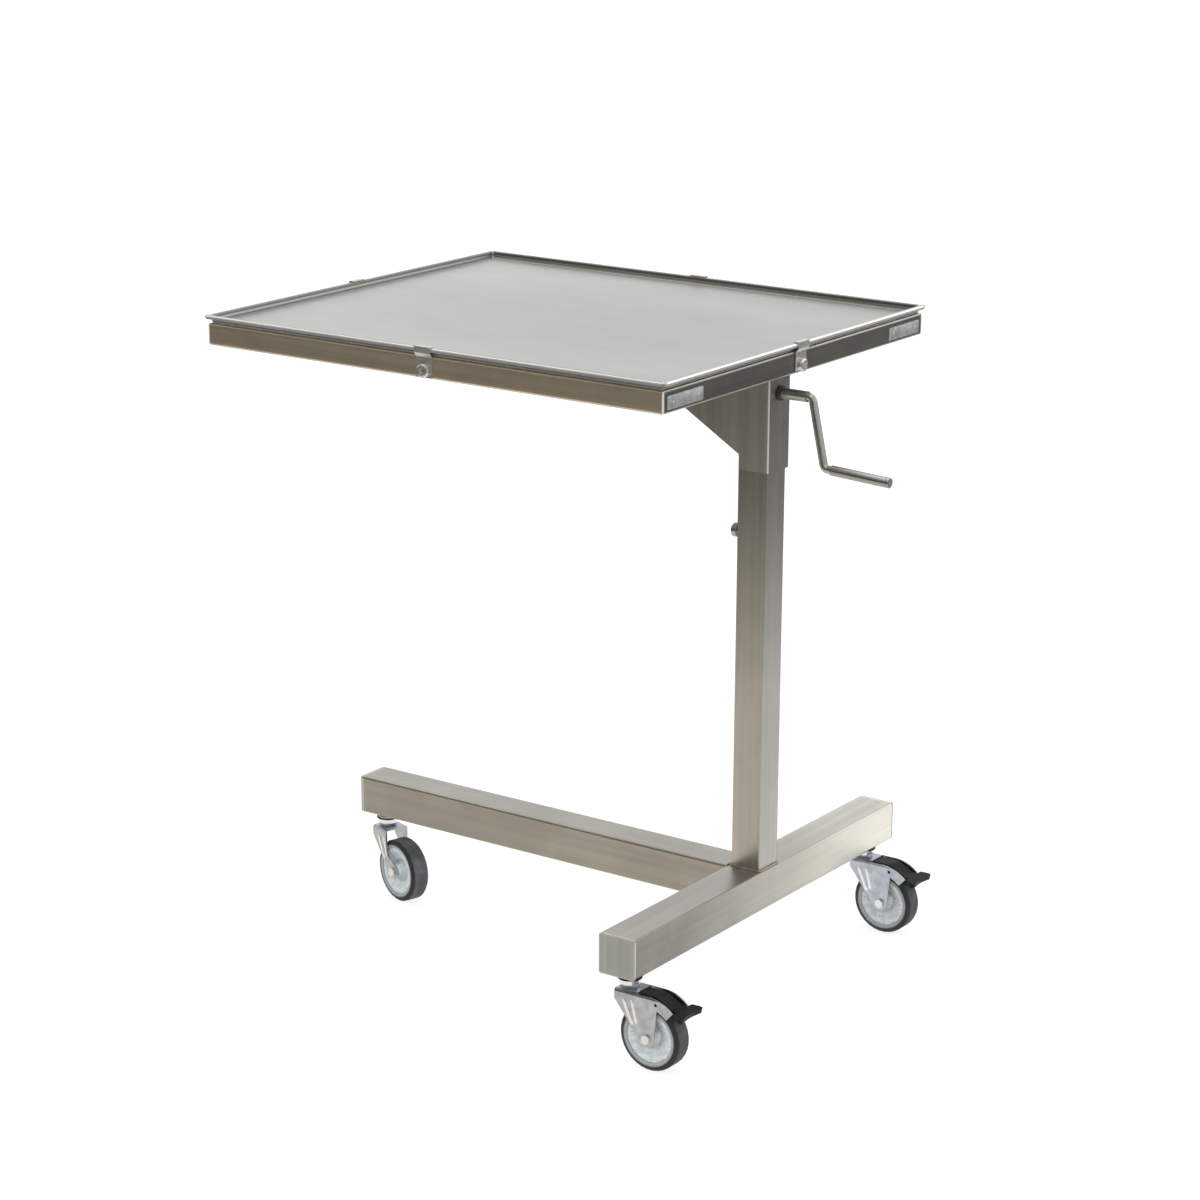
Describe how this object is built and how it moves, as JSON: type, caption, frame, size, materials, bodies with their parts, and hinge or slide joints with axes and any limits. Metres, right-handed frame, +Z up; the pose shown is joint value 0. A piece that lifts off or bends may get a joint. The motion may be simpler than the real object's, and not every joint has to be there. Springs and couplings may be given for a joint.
{
  "type": "mayo instrument stand",
  "caption": "Cantilever instrument stand: a shallow rimmed tray on a cranked telescopic column over a T-shaped tube base with swivel castors, two of them braked.",
  "frame": {"origin": "on the floor under the middle of the bounding box, with the tray at its lowest setting and the crank arm hanging down", "axes": "+Z up, normal to the tray; +X along the leg towards the column and the crank; +Y along the crossbar"},
  "size_m": [0.9599, 0.716, 0.9943],
  "materials": {
    "tray_sheet": "satin stainless sheet with a fine even grain",
    "tray_frame": "satin stainless channel and plate, darker in tone",
    "base_tube": "satin ground stainless tube, grain along each tube",
    "lift_tube": "bright drawn stainless tube",
    "clip_steel": "bright stainless strap and turned screw",
    "knob_steel": "turned stainless knob and boss",
    "crank_steel": "polished stainless bar and sleeves",
    "screw_steel": "bright lifting screw",
    "gear_steel": "dark machined gear steel",
    "bronze": "machined bearing bronze",
    "glide_plastic": "white slide plastic",
    "bush_plastic": "black bearing plastic",
    "castor_zinc": "bright zinc plated pressings and bolts",
    "tyre_rubber": "dark grey non-marking rubber",
    "wheel_plastic": "light grey moulded wheel centre",
    "pedal_plastic": "black moulded pedal"
  },
  "bodies": {
    "base": {"base_crossbar": "base_tube", "base_leg": "base_tube", "end_plate_front": "base_tube", "end_plate_rear": "base_tube", "end_plate_leg": "base_tube", "column_outer": "base_tube", "upper_glide": "glide_plastic", "lock_boss": "knob_steel", "nut_tube": "lift_tube", "spindle_nut": "bronze", "castor_stem_front": "castor_zinc", "castor_stem_rear": "castor_zinc", "castor_stem_leg": "castor_zinc"},
    "lift": {"column_inner": "lift_tube", "lower_glide": "glide_plastic", "crank_bush": "bush_plastic", "spindle_bearing": "bronze", "tray_panel": "tray_sheet", "rail_front": "tray_frame", "rail_right": "tray_frame", "rail_rear": "tray_frame", "rail_left": "tray_frame", "frame_rib_right": "tray_frame", "frame_rib_middle": "tray_frame", "frame_rib_left": "tray_frame", "head_bracket": "tray_frame", "head_back_plate": "tray_frame", "head_plate": "tray_frame", "clip_front": "clip_steel", "clip_right": "clip_steel", "clip_rear": "clip_steel", "clip_left": "clip_steel", "clip_screw_front": "clip_steel", "clip_screw_right": "clip_steel", "clip_screw_rear": "clip_steel", "clip_screw_left": "clip_steel"},
    "spindle": {"lift_spindle": "screw_steel", "spindle_gear": "gear_steel", "spindle_collar": "gear_steel"},
    "crank": {"crank_bar": "crank_steel", "crank_gear": "gear_steel", "crank_sleeve": "crank_steel", "grip_cap": "crank_steel"},
    "grip": {"crank_grip": "crank_steel"},
    "knob": {"lock_knob": "knob_steel"},
    "swivel_front": {"castor_fork_front": "castor_zinc", "castor_axle_front": "castor_zinc"},
    "wheel_front": {"tyre_front": "tyre_rubber", "wheel_centre_front": "wheel_plastic"},
    "swivel_rear": {"castor_fork_rear": "castor_zinc", "castor_axle_rear": "castor_zinc"},
    "wheel_rear": {"tyre_rear": "tyre_rubber", "wheel_centre_rear": "wheel_plastic"},
    "swivel_leg": {"castor_fork_leg": "castor_zinc", "castor_axle_leg": "castor_zinc"},
    "wheel_leg": {"tyre_leg": "tyre_rubber", "wheel_centre_leg": "wheel_plastic"},
    "pedal_front": {"brake_pedal_front": "pedal_plastic"},
    "pedal_rear": {"brake_pedal_rear": "pedal_plastic"}
  },
  "joints": [
    {"name": "lift_slide", "type": "slide", "parent": "base", "child": "lift", "axis": [0, 0, 1], "range_m": [0, 0.35]},
    {"name": "spindle_turn", "type": "hinge", "parent": "lift", "child": "spindle", "pos_m": [0.26813, 0, 0.915], "axis": [0, 0, 1], "range_deg": [-12610, 0]},
    {"name": "crank_turn", "type": "hinge", "parent": "lift", "child": "crank", "pos_m": [0.26813, 0, 0.915], "axis": [1, 0, 0], "range_deg": [-12610, 0]},
    {"name": "grip_spin", "type": "hinge", "parent": "crank", "child": "grip", "pos_m": [0.37213, 0, 0.815], "axis": [0.9986, 0, -0.0523], "continuous": true},
    {"name": "knob_turn", "type": "hinge", "parent": "base", "child": "knob", "pos_m": [0.24313, 0, 0.704], "axis": [-1, 0, 0], "range_deg": [0, 360]},
    {"name": "swivel_front", "type": "hinge", "parent": "base", "child": "swivel_front", "pos_m": [0.26813, -0.324, 0.12], "axis": [0, 0, 1], "continuous": true},
    {"name": "swivel_rear", "type": "hinge", "parent": "base", "child": "swivel_rear", "pos_m": [0.26813, 0.324, 0.12], "axis": [0, 0, 1], "continuous": true},
    {"name": "swivel_leg", "type": "hinge", "parent": "base", "child": "swivel_leg", "pos_m": [-0.42687, 0, 0.12], "axis": [0, 0, 1], "continuous": true},
    {"name": "wheel_front", "type": "hinge", "parent": "swivel_front", "child": "wheel_front", "pos_m": [0.31113, -0.324, 0.05], "axis": [0, 1, 0], "continuous": true},
    {"name": "wheel_rear", "type": "hinge", "parent": "swivel_rear", "child": "wheel_rear", "pos_m": [0.31113, 0.324, 0.05], "axis": [0, 1, 0], "continuous": true},
    {"name": "wheel_leg", "type": "hinge", "parent": "swivel_leg", "child": "wheel_leg", "pos_m": [-0.38575, -0.01257, 0.05], "axis": [0.2924, 0.9563, 0], "continuous": true},
    {"name": "pedal_front", "type": "hinge", "parent": "swivel_front", "child": "pedal_front", "pos_m": [0.31313, -0.324, 0.109], "axis": [0, 1, 0], "range_deg": [0, 11]},
    {"name": "pedal_rear", "type": "hinge", "parent": "swivel_rear", "child": "pedal_rear", "pos_m": [0.31313, 0.324, 0.109], "axis": [0, 1, 0], "range_deg": [0, 11]}
  ],
  "couplings": [
    {"joint": "spindle_turn", "follows": "lift_slide", "rad_per_m": -628.32},
    {"joint": "crank_turn", "follows": "lift_slide", "rad_per_m": -628.32}
  ]
}
